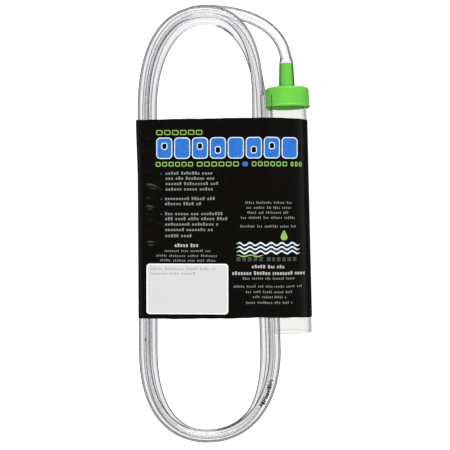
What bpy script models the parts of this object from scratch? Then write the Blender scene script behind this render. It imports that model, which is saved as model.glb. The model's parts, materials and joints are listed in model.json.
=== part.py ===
"""Gravel vacuum siphon, packed flat: a rigid tube in a barbed cap, a hose coiled in three turns, and the printed
sleeve and price label that hold the pack together.

Frame: metres, +Z up. The pack lies on z = 0 on the back panel of its sleeve, front panel up. The origin is under
the middle of the sleeve, +Y points to the cap ("upper" below), +X to the side where the tube lies ("right").
"""
import math
from bisect import bisect_right

import bpy
import bmesh
from mathutils import Matrix, Vector

MM = 0.001
UP = Vector((0.0, 0.0, 1.0))
GAP = 0.3 * MM  # clearance between neighbouring pieces

# Head: the cap and the tube share one axis, which leans a little from -Y towards +X.
HEAD_ORIGIN = Vector((41.8, 84.5, 15.0)) * MM  # where the axis meets the cap's shoulder
HEAD_LEAN = math.radians(1.354)
HEAD_DOWN = Vector((math.sin(HEAD_LEAN), -math.cos(HEAD_LEAN), 0.0))  # from the cap to the tube's mouth
HEAD_SIDE = Vector((math.cos(HEAD_LEAN), math.sin(HEAD_LEAN), 0.0))
SPIN_STEPS = 36

# Gravel tube: its ends are distances below the shoulder, towards the mouth
TUBE_R = 12.5 * MM
TUBE_WALL = 1.1 * MM
TUBE_TOP = 4.85 * MM
TUBE_MOUTH = 159.8 * MM
TUBE_EDGE = 0.2 * MM

# Cap: shell
CAP_TOP_R = 14.25 * MM
CAP_SKIRT_R = 14.55 * MM
CAP_HEIGHT = 13.1 * MM
CAP_SHOULDER_ROUND = 1.7 * MM
CAP_SHOULDER_STEPS = 4
CAP_BEAD_R = 14.85 * MM
CAP_BEAD_H = 1.3 * MM
CAP_BEAD_EDGE = 0.3 * MM

# Cap: inside
SOCKET_R = TUBE_R + GAP
SOCKET_FLARE_W, SOCKET_FLARE_H = 0.4 * MM, 0.5 * MM
CHAMBER_R = 10.8 * MM
CHAMBER_TOP = 2.2 * MM
CHAMBER_EDGE = 0.8 * MM
BORE_FLARE_W, BORE_FLARE_H = 1.2 * MM, 0.9 * MM  # where the stem's bore opens into the chamber

# Cap: stem. Its heights are distances above the shoulder, away from the tube
STEM_LEN = 16.0 * MM
STEM_BORE_R = 1.7 * MM
STEM_TIP_R = 2.7 * MM
STEM_ROOT_R, STEM_ROOT_H = 3.5 * MM, 1.4 * MM
STEM_FOOT_R, STEM_FOOT_H = 4.0 * MM, 0.2 * MM
# Each barb as (distance from the shoulder to its sharp edge, edge radius, neck radius behind it)
BARBS = (
    (13.1 * MM, 3.3 * MM, 2.95 * MM),
    (9.3 * MM, 3.6 * MM, 3.15 * MM),
    (5.3 * MM, 3.9 * MM, 3.4 * MM),
)
BARB_BACK = 0.25 * MM  # length of the step from a barb's edge down to its neck

# Hose
HOSE_R = 3.8 * MM
# Radii as (outside, bore)
HOSE_RADII = (HOSE_R, 2.4 * MM)
HOSE_CUT_RADII = (5.2 * MM, 4.35 * MM)  # stretched over the stem's foot
HOSE_TIP_RADII = (4.6 * MM, 3.7 * MM)  # stretched over the stem's tip
HOSE_STANDOFF = 0.35 * MM  # from the shoulder to the cut end
HOSE_GRIP = STEM_LEN - HOSE_STANDOFF
HOSE_RELAX = 5.0 * MM  # length past the tip in which it narrows back to its own size
HOSE_SIDES = 12
RING_TURN = math.radians(8.0)  # turning after which the hose gets a new ring
RING_STEP = 30.0 * MM  # length after which it gets one anyway
RING_MIN_STEP = 1.0 * MM
RING_LOOK = 0.4 * MM  # how far to each side a ring looks for its mean heading
STEM_PATH_STEPS = 8
BEND_STEPS = 40

# Sleeve
FILM = 0.5 * MM
SLEEVE_TOP_Y = 63.2 * MM
SLEEVE_BOTTOM_Y = -64.2 * MM
WRAP_ANGLES = 48  # points round each strand and the tube
WRAP_START, WRAP_STEP = 60, 4  # the hose is sampled from and every so many whole millimetres
WRAP_MARGIN = 4 * MM  # hose counted past the sleeve's upper edge
WRAP_MIN_SPACING = 0.25 * MM
WRAP_MIN_TURN = 1e-9  # least cross product, in square metres, that counts as a corner

# Coil: three layers of strands, one on the other
LAYER_1 = FILM + GAP + HOSE_R
LAYER_STEP = 2 * HOSE_R + GAP
LAYER_Z = (LAYER_1, LAYER_1 + LAYER_STEP, LAYER_1 + 2 * LAYER_STEP)
OVER_TUBE_Z = 26.4 * MM  # the last strand rides up over the flank of the tube
OVER_CAP_Z = 27.7 * MM
FREE_END_Y = 78.1 * MM
SPLIT_Y = 65.6 * MM  # where the free end begins as its own piece, just past the sleeve's upper edge

# Left runs go down (-Y) and right runs go up. For each turn: (x at the upper end, x at the lower end)
LEFT_RUN_X = ((-51.0 * MM, -50.3 * MM), (-47.3 * MM, -46.8 * MM), (-51.7 * MM, -50.8 * MM))
RIGHT_RUN_X = ((25.7 * MM, 31.9 * MM), (23.0 * MM, 28.2 * MM), (28.1 * MM, 33.4 * MM))
# (y of the upper ends, y of the lower ends)
LEFT_RUN_Y = (69.0 * MM, -87.4 * MM)
RIGHT_RUN_Y = (67.0 * MM, -84.0 * MM)
# Crowns as (x, y): the top of the lead from the cap and of each loop between two turns, and each turn's bottom
LEAD_CROWN = (-12.0 * MM, 137.2 * MM)
TOP_CROWNS = ((-11.8 * MM, 130.2 * MM), (-11.7 * MM, 133.5 * MM))
BOTTOM_CROWNS = ((-10.6 * MM, -145.0 * MM), (-10.5 * MM, -143.6 * MM), (-10.4 * MM, -142.8 * MM))
# Fullness of each quarter bend: handle lengths as shares of its chord, (at the crown, at the run or the stem)
LEAD_FULLNESS = (0.74, 0.16)
TOP_LEFT = ((0.42, 0.32), (0.27, 0.56), (0.51, 0.21))
TOP_RIGHT = ((0.27, 0.64), (0.51, 0.18))
BOTTOM_LEFT = ((0.40, 0.45), (0.27, 0.64), (0.24, 0.66))
BOTTOM_RIGHT = ((0.40, 0.45), (0.27, 0.72), (0.45, 0.36))
# Where along a bend its change of height begins and ends, as shares of the bend
LEAD_CLIMB = (0.0, 0.8)
TOP_CLIMBS = ((0.4, 1.0), (0.25, 0.9))
BOTTOM_CLIMB = (0.1, 0.85)

# Price label: its centre is at LABEL_X, LABEL_Y
LABEL_W, LABEL_H, LABEL_T = 53.4 * MM, 33.4 * MM, 0.25 * MM
LABEL_ROUND = 2.0 * MM
LABEL_ROUND_STEPS = 5
LABEL_X, LABEL_Y = -22.9 * MM, -45.7 * MM

# Edges that turn more than this are shaded sharp
SHARP_ANGLE = math.radians(32)
SLEEVE_SHARP_ANGLE = math.radians(20)

# Materials
CLEAR = (0.86, 0.87, 0.88)
CLEAR_HOSE = dict(colour=CLEAR, roughness=0.08, alpha=0.45, transmission=0.9)
CLEAR_TUBE = dict(colour=CLEAR, roughness=0.05, alpha=0.35, transmission=0.95)
GREEN_CAP = dict(colour=(0.15, 0.66, 0.065), roughness=0.38)
BLACK_FILM = dict(colour=(0.006, 0.006, 0.005), roughness=0.16)
PALE_LABEL = dict(colour=(0.73, 0.74, 0.74), roughness=0.5)


# Curves and numbers

def mix(start, end, t):
    return start + (end - start) * t


def smooth(t):
    t = min(max(t, 0.0), 1.0)
    return t * t * (3.0 - 2.0 * t)


def arc(centre_x, centre_y, radius, start, end, steps):
    """Points on an arc, its start and end angles in degrees."""
    angles = [math.radians(start + (end - start) * i / steps) for i in range(steps + 1)]
    return [(centre_x + radius * math.cos(a), centre_y + radius * math.sin(a)) for a in angles]


def at_height(flat_point, z):
    return Vector((flat_point.x, flat_point.y, z))


def cross_axes(heading):
    """The sideways and the upward direction square to a heading."""
    side = heading.cross(UP).normalized()
    return side, side.cross(heading).normalized()


# Meshes and objects

def join_rings(bm, first, second):
    """A closed band of quads between two rings of vertices."""
    count = len(first)
    for i in range(count):
        j = (i + 1) % count
        bm.faces.new((first[i], first[j], second[j], second[i]))


def skin_hollow(bm, rings):
    """An outer and an inner skin through pairs of (outer, inner) rings, joined at both ends."""
    for (outer, inner), (next_outer, next_inner) in zip(rings, rings[1:]):
        join_rings(bm, outer, next_outer)
        join_rings(bm, next_inner, inner)
    first_outer, first_inner = rings[0]
    last_outer, last_inner = rings[-1]
    join_rings(bm, first_inner, first_outer)
    join_rings(bm, last_outer, last_inner)


def link_object(name, data):
    thing = bpy.data.objects.new(name, data)
    bpy.context.collection.objects.link(thing)
    return thing


def make_object(name, bm, look, sharp=SHARP_ANGLE):
    """Turns a bmesh into a shaded object with its material."""
    bmesh.ops.recalc_face_normals(bm, faces=bm.faces)
    mesh = bpy.data.meshes.new(name)
    bm.to_mesh(mesh)
    bm.free()
    mesh.shade_smooth()
    mesh.set_sharp_from_angle(angle=sharp)
    mesh.materials.append(make_material(name, **look))
    return link_object(name, mesh)


def make_material(name, colour, roughness, alpha=1.0, transmission=0.0):
    material = bpy.data.materials.new(name)
    material.use_nodes = True
    inputs = material.node_tree.nodes["Principled BSDF"].inputs
    inputs["Base Color"].default_value = (*colour, 1.0)
    inputs["Roughness"].default_value = roughness
    inputs["Alpha"].default_value = alpha
    inputs["Transmission Weight"].default_value = transmission
    return material


def move_origin(thing, spot):
    """Puts the object's origin at a point without moving its surface."""
    thing.data.transform(Matrix.Translation(-spot))
    thing.location = spot


# Hose centre line

class CentreLine:
    """A polyline that can be read by distance from its start."""

    def __init__(self, points):
        self.points = points
        self.distances = [0.0]
        for start, end in zip(points, points[1:]):
            self.distances.append(self.distances[-1] + (end - start).length)
        self.length = self.distances[-1]

    def at(self, distance):
        """The point and the heading at a distance; the end segments run on past their ends."""
        i = bisect_right(self.distances, distance) - 1
        i = min(max(i, 0), len(self.points) - 2)
        heading = (self.points[i + 1] - self.points[i]).normalized()
        return self.points[i] + heading * (distance - self.distances[i]), heading


def quarter_bend(start, end, start_z, end_z, climb=(0.0, 1.0)):
    """A cubic without its first point. Each end is (point, heading, handle as a share of the chord)."""
    start_point, start_heading, start_share = start
    end_point, end_heading, end_share = end
    chord = (end_point - start_point).length
    start_handle = start_point + start_heading * start_share * chord
    end_handle = end_point - end_heading * end_share * chord
    climb_start, climb_end = climb
    points = []
    for i in range(1, BEND_STEPS + 1):
        t = i / BEND_STEPS
        flat = (start_point * (1 - t) ** 3
                + start_handle * 3 * (1 - t) ** 2 * t
                + end_handle * 3 * (1 - t) * t * t
                + end_point * t**3)
        z = mix(start_z, end_z, smooth((t - climb_start) / (climb_end - climb_start)))
        points.append(at_height(flat, z))
    return points


def run_ends(run_x, run_y):
    """The upper and the lower end of a straight run."""
    return [Vector(end) for end in zip(run_x, run_y)]


def hose_line():
    """Centre line of the whole hose, from its cut end on the cap's stem to its free end."""
    west, east = Vector((-1.0, 0.0)), Vector((1.0, 0.0))
    down = HEAD_DOWN.xy
    cut = HEAD_ORIGIN.xy - down * HOSE_STANDOFF
    tip = HEAD_ORIGIN.xy - down * STEM_LEN
    points = [at_height(mix(cut, tip, i / STEM_PATH_STEPS), HEAD_ORIGIN.z)
              for i in range(STEM_PATH_STEPS + 1)]

    crown = Vector(LEAD_CROWN)
    crown_share, stem_share = LEAD_FULLNESS
    points += quarter_bend((tip, -down, stem_share), (crown, west, crown_share),
                           HEAD_ORIGIN.z, LAYER_Z[0], LEAD_CLIMB)

    for k, z in enumerate(LAYER_Z):
        last_turn = k == len(LAYER_Z) - 1
        left_top, left_bottom = run_ends(LEFT_RUN_X[k], LEFT_RUN_Y)
        right_top, right_bottom = run_ends(RIGHT_RUN_X[k], RIGHT_RUN_Y)
        falling = (left_bottom - left_top).normalized()
        rising = (right_top - right_bottom).normalized()
        bottom = Vector(BOTTOM_CROWNS[k])

        crown_share, run_share = TOP_LEFT[k]
        points += quarter_bend((crown, west, crown_share), (left_top, falling, run_share), z, z)
        points.append(at_height(left_bottom, z))
        crown_share, run_share = BOTTOM_LEFT[k]
        points += quarter_bend((left_bottom, falling, run_share), (bottom, east, crown_share), z, z)
        crown_share, run_share = BOTTOM_RIGHT[k]
        points += quarter_bend((bottom, east, crown_share), (right_bottom, rising, run_share),
                               z, OVER_TUBE_Z if last_turn else z, BOTTOM_CLIMB)
        if last_turn:
            free_end = right_top + rising * ((FREE_END_Y - right_top.y) / rising.y)
            points.append(at_height(free_end, OVER_CAP_Z))
        else:
            points.append(at_height(right_top, z))
            crown = Vector(TOP_CROWNS[k])
            crown_share, run_share = TOP_RIGHT[k]
            points += quarter_bend((right_top, rising, run_share), (crown, west, crown_share),
                                   z, LAYER_Z[k + 1], TOP_CLIMBS[k])
    return CentreLine(points)


def split_distance(line):
    """Distance at which the last straight run passes SPLIT_Y."""
    start, end = line.points[-2:]
    start_distance, end_distance = line.distances[-2:]
    return start_distance + (SPLIT_Y - start.y) / (end.y - start.y) * (end_distance - start_distance)


# Hose pieces

def coil_stops(line, last):
    """Distances of the coil's rings up to the last: closer together where the hose turns."""
    headings = [(end - start).normalized() for start, end in zip(line.points, line.points[1:])]
    stops = [0.0]
    turned = 0.0
    for i in range(1, len(headings)):
        distance = line.distances[i]
        if distance >= last:
            break
        turned += headings[i - 1].angle(headings[i], 0.0)
        since = distance - stops[-1]
        due = turned >= RING_TURN or since >= RING_STEP
        if due and since > RING_MIN_STEP and last - distance > RING_MIN_STEP:
            stops.append(distance)
            turned = 0.0
    return stops + [last]


def hose_radii(distance):
    """Outer and bore radius at a distance from the cut end: the hose is stretched over the stem."""
    if distance <= HOSE_GRIP:
        start, end, t = HOSE_CUT_RADII, HOSE_TIP_RADII, distance / HOSE_GRIP
    else:
        start, end, t = HOSE_TIP_RADII, HOSE_RADII, smooth((distance - HOSE_GRIP) / HOSE_RELAX)
    return [mix(a, b, t) for a, b in zip(start, end)]


def swept_hose(name, line, stops):
    """A hollow hose with a pair of rings at each stop."""
    bm = bmesh.new()
    angles = [2 * math.pi * (i + 0.5) / HOSE_SIDES for i in range(HOSE_SIDES)]
    rings = []
    for k, stop in enumerate(stops):
        point, heading = line.at(stop)
        if 0 < k < len(stops) - 1:
            _, back = line.at(stop - RING_LOOK)
            _, ahead = line.at(stop + RING_LOOK)
            heading = (back + ahead).normalized()
        side, up = cross_axes(heading)
        rings.append([
            [bm.verts.new(point + (side * math.cos(a) + up * math.sin(a)) * radius) for a in angles]
            for radius in hose_radii(stop)
        ])
    skin_hollow(bm, rings)
    return make_object(name, bm, CLEAR_HOSE)


def hose_coil(line):
    return swept_hose("hose_coil", line, coil_stops(line, split_distance(line) - GAP / 2))


def hose_free_end(line):
    """The straight last length of the hose, its origin on top of the hose at the split."""
    split = split_distance(line)
    stops = [split + GAP / 2, (split + line.length) / 2, line.length]
    tail = swept_hose("hose_free_end", line, stops)
    point, heading = line.at(split)
    _, up = cross_axes(heading)
    move_origin(tail, point + up * HOSE_R)


# Head

def turned_piece(name, profile, look):
    """A closed profile of (radius, height) corners spun a full turn about local Z."""
    bm = bmesh.new()
    corners = [bm.verts.new((radius, 0.0, z)) for radius, z in profile]
    edges = [bm.edges.new(pair) for pair in zip(corners, corners[1:] + corners[:1])]
    bmesh.ops.spin(bm, geom=corners + edges, cent=(0, 0, 0), axis=(0, 0, 1),
                   angle=2 * math.pi, steps=SPIN_STEPS)
    bmesh.ops.remove_doubles(bm, verts=bm.verts, dist=0.01 * MM)
    return make_object(name, bm, look)


def cap_profile():
    """(radius, height) with height 0 at the shoulder, growing towards the tube's mouth."""
    stem = [(STEM_BORE_R, -STEM_LEN), (STEM_TIP_R, -STEM_LEN)]
    for distance, edge_r, neck_r in BARBS:
        stem += [(edge_r, -distance), (neck_r, -distance + BARB_BACK)]
    stem += [(STEM_ROOT_R, -STEM_ROOT_H), (STEM_FOOT_R, -STEM_FOOT_H), (STEM_FOOT_R, 0.0)]
    shoulder = arc(CAP_TOP_R - CAP_SHOULDER_ROUND, CAP_SHOULDER_ROUND, CAP_SHOULDER_ROUND,
                   -90, 0, CAP_SHOULDER_STEPS)
    bead_top = CAP_HEIGHT - CAP_BEAD_H
    skirt = [
        (CAP_SKIRT_R, bead_top),
        (CAP_BEAD_R, bead_top + CAP_BEAD_EDGE),
        (CAP_BEAD_R, CAP_HEIGHT - CAP_BEAD_EDGE),
        (CAP_BEAD_R - CAP_BEAD_EDGE, CAP_HEIGHT),
        (SOCKET_R + SOCKET_FLARE_W, CAP_HEIGHT),
        (SOCKET_R, CAP_HEIGHT - SOCKET_FLARE_H),
    ]
    inside = [
        (SOCKET_R, TUBE_TOP - GAP),
        (CHAMBER_R, TUBE_TOP - GAP),
        (CHAMBER_R, CHAMBER_TOP + CHAMBER_EDGE),
        (CHAMBER_R - CHAMBER_EDGE, CHAMBER_TOP),
        (STEM_BORE_R + BORE_FLARE_W, CHAMBER_TOP),
        (STEM_BORE_R, CHAMBER_TOP - BORE_FLARE_H),
    ]
    return stem + shoulder + skirt + inside


def tube_profile():
    bore_r = TUBE_R - TUBE_WALL
    return [
        (bore_r + TUBE_EDGE, TUBE_TOP),
        (TUBE_R - TUBE_EDGE, TUBE_TOP),
        (TUBE_R, TUBE_TOP + TUBE_EDGE),
        (TUBE_R, TUBE_MOUTH - TUBE_EDGE),
        (TUBE_R - TUBE_EDGE, TUBE_MOUTH),
        (bore_r + TUBE_EDGE, TUBE_MOUTH),
        (bore_r, TUBE_MOUTH - TUBE_EDGE),
        (bore_r, TUBE_TOP + TUBE_EDGE),
    ]


def head():
    """The cap and the tube on their axis, whose local Z runs from the shoulder to the tube's mouth."""
    axis = link_object("head_axis", None)
    basis = Matrix((HEAD_SIDE, UP, HEAD_DOWN)).transposed().to_4x4()
    axis.matrix_world = Matrix.Translation(HEAD_ORIGIN) @ basis
    turned_piece("tube_cap", cap_profile(), GREEN_CAP).parent = axis
    turned_piece("gravel_tube", tube_profile(), CLEAR_TUBE).parent = axis


# Sleeve and label

def across(point):
    """Distance of a point from the head's axis, measured sideways."""
    return (point - HEAD_ORIGIN).dot(HEAD_SIDE)


def hull_half(spots):
    """The spots, already in order, that make one side of their convex hull."""
    chain = []
    for spot in spots:
        while len(chain) > 1:
            a, b = chain[-2], chain[-1]
            if (b[0] - a[0]) * (spot[1] - a[1]) - (b[1] - a[1]) * (spot[0] - a[0]) > WRAP_MIN_TURN:
                break
            chain.pop()
        chain.append(spot)
    return chain


def wrap_section(line):
    """The sleeve's outer section as (across, z, direction across, direction z).

    It is the convex hull of every strand below the sleeve's upper edge and of the tube, seen along the head's
    axis, so the band clears all of them while it slides off along the tube.
    """
    samples = [line.at(s * MM)[0] for s in range(WRAP_START, int(line.length / MM), WRAP_STEP)]
    rounds = [(across(point), point.z, HOSE_R + GAP)
              for point in samples if point.y <= SLEEVE_TOP_Y + WRAP_MARGIN]
    rounds.append((0.0, HEAD_ORIGIN.z, TUBE_R + GAP))
    angles = [2 * math.pi * k / WRAP_ANGLES for k in range(WRAP_ANGLES)]
    spots = [
        (side + (radius + FILM) * math.cos(a), z + (radius + FILM) * math.sin(a), math.cos(a), math.sin(a))
        for side, z, radius in rounds for a in angles
    ]
    spots.sort(key=lambda spot: (round(spot[0], 7), round(spot[1], 7)))

    kept = []
    for spot in hull_half(spots)[:-1] + hull_half(spots[::-1])[:-1]:
        if not kept or math.hypot(spot[0] - kept[-1][0], spot[1] - kept[-1][1]) > WRAP_MIN_SPACING:
            kept.append(spot)
    return kept


def on_sleeve(side, z, y):
    """The point at (side, z) in the sleeve's section, at y along the pack."""
    foot = HEAD_ORIGIN + HEAD_SIDE * side
    point = foot + HEAD_DOWN * ((y - foot.y) / HEAD_DOWN.y)
    return Vector((point.x, y, z))


def printed_sleeve(section):
    bm = bmesh.new()
    rings = []
    for y in (SLEEVE_BOTTOM_Y, SLEEVE_TOP_Y):
        rings.append([
            [bm.verts.new(on_sleeve(side - side_dir * inset, z - z_dir * inset, y))
             for side, z, side_dir, z_dir in section]
            for inset in (0.0, FILM)
        ])
    skin_hollow(bm, rings)
    return make_object("printed_sleeve", bm, BLACK_FILM, SLEEVE_SHARP_ANGLE)


def front_height(section):
    """A function from distance across to the height of the sleeve's widest flat on its upper side."""
    top = sorted((side, z) for side, z, _, z_dir in section if z_dir > 0.5)
    start, end = max(zip(top, top[1:]), key=lambda pair: pair[1][0] - pair[0][0])
    slope = (end[1] - start[1]) / (end[0] - start[0])
    return lambda side: start[1] + (side - start[0]) * slope


def price_label(section):
    """A rounded sheet lying GAP above the sleeve's flat front."""
    height = front_height(section)
    outline = []
    for sign_x, sign_y, start in ((1, 1, 0), (-1, 1, 90), (-1, -1, 180), (1, -1, 270)):
        outline += arc(sign_x * (LABEL_W / 2 - LABEL_ROUND), sign_y * (LABEL_H / 2 - LABEL_ROUND),
                       LABEL_ROUND, start, start + 90, LABEL_ROUND_STEPS)
    spots = [Vector((LABEL_X + x, LABEL_Y + y, 0.0)) for x, y in outline]
    bm = bmesh.new()
    under, over = [
        [bm.verts.new((spot.x, spot.y, height(across(spot)) + lift)) for spot in spots]
        for lift in (GAP, GAP + LABEL_T)
    ]
    bm.faces.new(over)
    bm.faces.new(under[::-1])
    join_rings(bm, under, over)
    return make_object("price_label", bm, PALE_LABEL)


def build():
    for old in list(bpy.data.objects):
        bpy.data.objects.remove(old, do_unlink=True)

    line = hose_line()
    hose_coil(line)
    hose_free_end(line)
    head()
    section = wrap_section(line)
    band = printed_sleeve(section)
    price_label(section).parent = band


build()
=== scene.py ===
"""Looks of the gravel vacuum siphon: clear tube and hose, green cap, printed film sleeve and label.

The product lies flat on the floor: x runs across it, y along it and +z towards the camera. The hose
is coiled in three layers about the tube, and the film sleeve holds the coil and the tube together.
"Left" and "right" are -x and +x, "top" and "bottom" +y and -y, "front" and "back" +z and -z.
"""

import json
import math
import random

import bmesh
import bpy
import numpy as np
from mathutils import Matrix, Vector


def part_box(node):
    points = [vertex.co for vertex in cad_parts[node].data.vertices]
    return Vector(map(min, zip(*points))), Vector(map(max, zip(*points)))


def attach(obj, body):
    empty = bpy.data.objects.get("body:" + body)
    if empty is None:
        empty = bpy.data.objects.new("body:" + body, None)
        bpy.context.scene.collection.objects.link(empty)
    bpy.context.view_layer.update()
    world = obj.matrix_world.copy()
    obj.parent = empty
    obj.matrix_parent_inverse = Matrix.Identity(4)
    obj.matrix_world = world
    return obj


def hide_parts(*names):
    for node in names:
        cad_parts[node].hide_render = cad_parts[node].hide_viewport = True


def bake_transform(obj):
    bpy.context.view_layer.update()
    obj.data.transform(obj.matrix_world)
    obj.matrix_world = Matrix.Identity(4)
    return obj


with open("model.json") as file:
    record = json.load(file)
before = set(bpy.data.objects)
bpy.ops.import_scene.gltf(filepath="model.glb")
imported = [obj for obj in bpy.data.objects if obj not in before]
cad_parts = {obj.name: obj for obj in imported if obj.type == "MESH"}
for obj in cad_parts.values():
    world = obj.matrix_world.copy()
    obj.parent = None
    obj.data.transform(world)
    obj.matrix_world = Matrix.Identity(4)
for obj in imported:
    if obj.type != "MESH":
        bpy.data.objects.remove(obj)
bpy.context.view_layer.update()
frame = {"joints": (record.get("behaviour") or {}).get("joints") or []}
MM = 0.001
SCENE = bpy.context.scene

# ---------------------------------------------------------------- frame
JOINTS = {joint["name"]: joint for joint in frame["joints"]}
HEAD_ORIGIN = Vector(JOINTS["cap_swivel"]["pos_m"])  # the cap's centre, on the tube's axis
HEAD_DOWN = Vector(JOINTS["cap_swivel"]["axis"]).normalized()  # from the cap to the tube's mouth
HEAD_SIDE = Vector((-HEAD_DOWN.y, HEAD_DOWN.x, 0.0))
TAIL_PIVOT = Vector(JOINTS["tail_lift"]["pos_m"])
SLEEVE_LO, SLEEVE_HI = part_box("printed_sleeve")
LABEL_LO, LABEL_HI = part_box("price_label")

HOSE_RADII_MM = (3.8, 2.4)  # skin, bore
HOSE_R = HOSE_RADII_MM[0] * MM
STEM_LEN = 16.0 * MM  # the cap's stem, which the hose is pushed over
TUBE_R, TUBE_BORE_R = 12.5 * MM, 11.4 * MM
TUBE_TOP, TUBE_MOUTH = 4.85 * MM, 159.8 * MM  # distances down the head's axis


# ---------------------------------------------------------------- mesh helpers
def smooth(t):
    t = min(max(t, 0.0), 1.0)
    return t * t * (3.0 - 2.0 * t)


def mesh_object(name, verts, faces, materials, face_materials=None, sharp=50):
    """A smooth-shaded object whose edges over sharp degrees stay sharp."""
    mesh = bpy.data.meshes.new(name)
    mesh.from_pydata([tuple(v) for v in verts], [], faces)
    for material in materials:
        mesh.materials.append(material)
    if face_materials is not None:
        mesh.polygons.foreach_set("material_index", face_materials)
    mesh.validate()
    mesh.shade_smooth()
    mesh.set_sharp_from_angle(angle=math.radians(sharp))
    mesh.update()
    obj = bpy.data.objects.new(name, mesh)
    SCENE.collection.objects.link(obj)
    return obj


def sheet_faces(base, rows, count):
    """Faces of a closed thin sheet: a rows x count grid from vertex base, then its other side."""
    size = rows * count
    faces = []
    for r in range(rows - 1):
        for k in range(count - 1):
            a = base + r * count + k
            faces.append((a, a + count, a + count + 1, a + 1))
            faces.append((a + size, a + 1 + size, a + count + 1 + size, a + count + size))
    rim = [base + k for k in range(count)]
    rim += [base + r * count + count - 1 for r in range(1, rows)]
    rim += [base + (rows - 1) * count + k for k in range(count - 2, -1, -1)]
    rim += [base + r * count for r in range(rows - 2, 0, -1)]
    for a, b in zip(rim, rim[1:] + rim[:1]):
        faces.append((a, b, b + size, a + size))
    return faces


def register(obj, part, replaces=None):
    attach(obj, part)
    if replaces:
        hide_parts(replaces)


# ---------------------------------------------------------------- shader helpers
def set_values(target, **values):
    """Set sockets and properties by name; an underscore stands for a space in a socket's name."""
    for name, value in values.items():
        socket = name.replace("_", " ")
        if socket in target.inputs:
            target.inputs[socket].default_value = value
        else:
            setattr(target, name, value)


def node(tree, kind, **values):
    made = tree.nodes.new(kind)
    set_values(made, **values)
    return made


def new_material(name):
    material = bpy.data.materials.new(name)
    material.use_nodes = True
    tree = material.node_tree
    return material, tree, tree.nodes["Principled BSDF"]


def grey(level):
    return (level, level, level)


def shade(colour, share):
    return tuple(min(1.0, c * share) for c in colour)


def ramp(tree, value, stops):
    """The colour a value has on a ramp of (position, colour) stops."""
    made = node(tree, "ShaderNodeValToRGB")
    elements = made.color_ramp.elements
    while len(elements) > 1:
        elements.remove(elements[-1])
    elements[0].position = stops[0][0]
    elements[0].color = (*stops[0][1], 1.0)
    for position, colour in stops[1:]:
        elements.new(position).color = (*colour, 1.0)
    tree.links.new(value, made.inputs[0])
    return made.outputs["Color"]


def calc(tree, kind, a, b=0.0):
    """One arithmetic node; a and b are sockets or numbers."""
    made = node(tree, "ShaderNodeMath", operation=kind)
    for k, value in enumerate((a, b)):
        if isinstance(value, (int, float)):
            made.inputs[k].default_value = value
        else:
            tree.links.new(value, made.inputs[k])
    return made.outputs[0]


def ease(tree, value, low, high):
    """0 at low, 1 at high, smooth in between; low may be the larger."""
    made = node(tree, "ShaderNodeMapRange", interpolation_type="SMOOTHSTEP",
                From_Min=low, From_Max=high)
    tree.links.new(value, made.inputs["Value"])
    return made.outputs["Result"]


def split_xyz(tree, vector):
    made = node(tree, "ShaderNodeSeparateXYZ")
    tree.links.new(vector, made.inputs[0])
    return made.outputs


def mix_colour(tree):
    """A colour mix and its factor, first and second inputs."""
    made = node(tree, "ShaderNodeMixRGB")
    return made, made.inputs["Fac"], made.inputs["Color1"], made.inputs["Color2"]


def mix_shader(tree, factor, usual, chosen):
    made = node(tree, "ShaderNodeMixShader")
    for k, socket in enumerate((factor, usual, chosen)):
        tree.links.new(socket, made.inputs[k])
    return made.outputs[0]


def glowing(tree, kind, colour, **values):
    """An emission or background shader; colour is a grey level or a socket."""
    made = node(tree, kind, **values)
    if isinstance(colour, float):
        made.inputs["Color"].default_value = (*grey(colour), 1.0)
    else:
        tree.links.new(colour, made.inputs["Color"])
    return made.outputs[0]


def object_noise(tree, coord, **values):
    made = node(tree, "ShaderNodeTexNoise", **values)
    tree.links.new(coord.outputs["Object"], made.inputs["Vector"])
    return made.outputs["Fac"]


def tone(tree, bsdf, value, stops):
    tree.links.new(ramp(tree, value, stops), bsdf.inputs["Base Color"])


def bump(tree, bsdf, height, strength, distance):
    made = node(tree, "ShaderNodeBump", Strength=strength, Distance=distance)
    tree.links.new(height, made.inputs["Height"])
    tree.links.new(made.outputs["Normal"], bsdf.inputs["Normal"])


def vary_roughness(tree, bsdf, value, low, high, **span):
    made = node(tree, "ShaderNodeMapRange", To_Min=low, To_Max=high, **span)
    tree.links.new(value, made.inputs["Value"])
    tree.links.new(made.outputs["Result"], bsdf.inputs["Roughness"])


# An ellipse through the coil's end bends, m: its centre and its half sizes.
COIL_X, COIL_Y = -0.0115, -0.004
COIL_HALF_X, COIL_HALF_Y = 0.041, 0.138


def inner_crowns(tree, place, near, far):
    """1 on the inner half of the coil's two end bends, within near of their middle, 0 past far."""
    px = calc(tree, "DIVIDE", calc(tree, "ADD", place["X"], -COIL_X), COIL_HALF_X)
    py = calc(tree, "DIVIDE", calc(tree, "ADD", place["Y"], -COIL_Y), COIL_HALF_Y)
    square_x = calc(tree, "MULTIPLY", px, px)
    square_y = calc(tree, "MULTIPLY", py, py)
    inside = ease(tree, calc(tree, "ADD", square_x, square_y), 1.03, 0.955)
    end = ease(tree, calc(tree, "ABSOLUTE", place["Y"]), 0.085, 0.112)
    across = calc(tree, "ABSOLUTE", calc(tree, "ADD", place["X"], -COIL_X))
    at_end = calc(tree, "MULTIPLY", inside, end)
    return calc(tree, "MULTIPLY", at_end, ease(tree, across, far, near))


def along_view(tree, geometry):
    """1 for a ray that runs along the line of sight, less as it is bent away from it."""
    turn = node(tree, "ShaderNodeVectorTransform",
                vector_type="VECTOR", convert_from="WORLD", convert_to="CAMERA")
    tree.links.new(geometry.outputs["Incoming"], turn.inputs[0])
    return calc(tree, "MULTIPLY", split_xyz(tree, turn.outputs[0])["Z"], -1.0)


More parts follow.
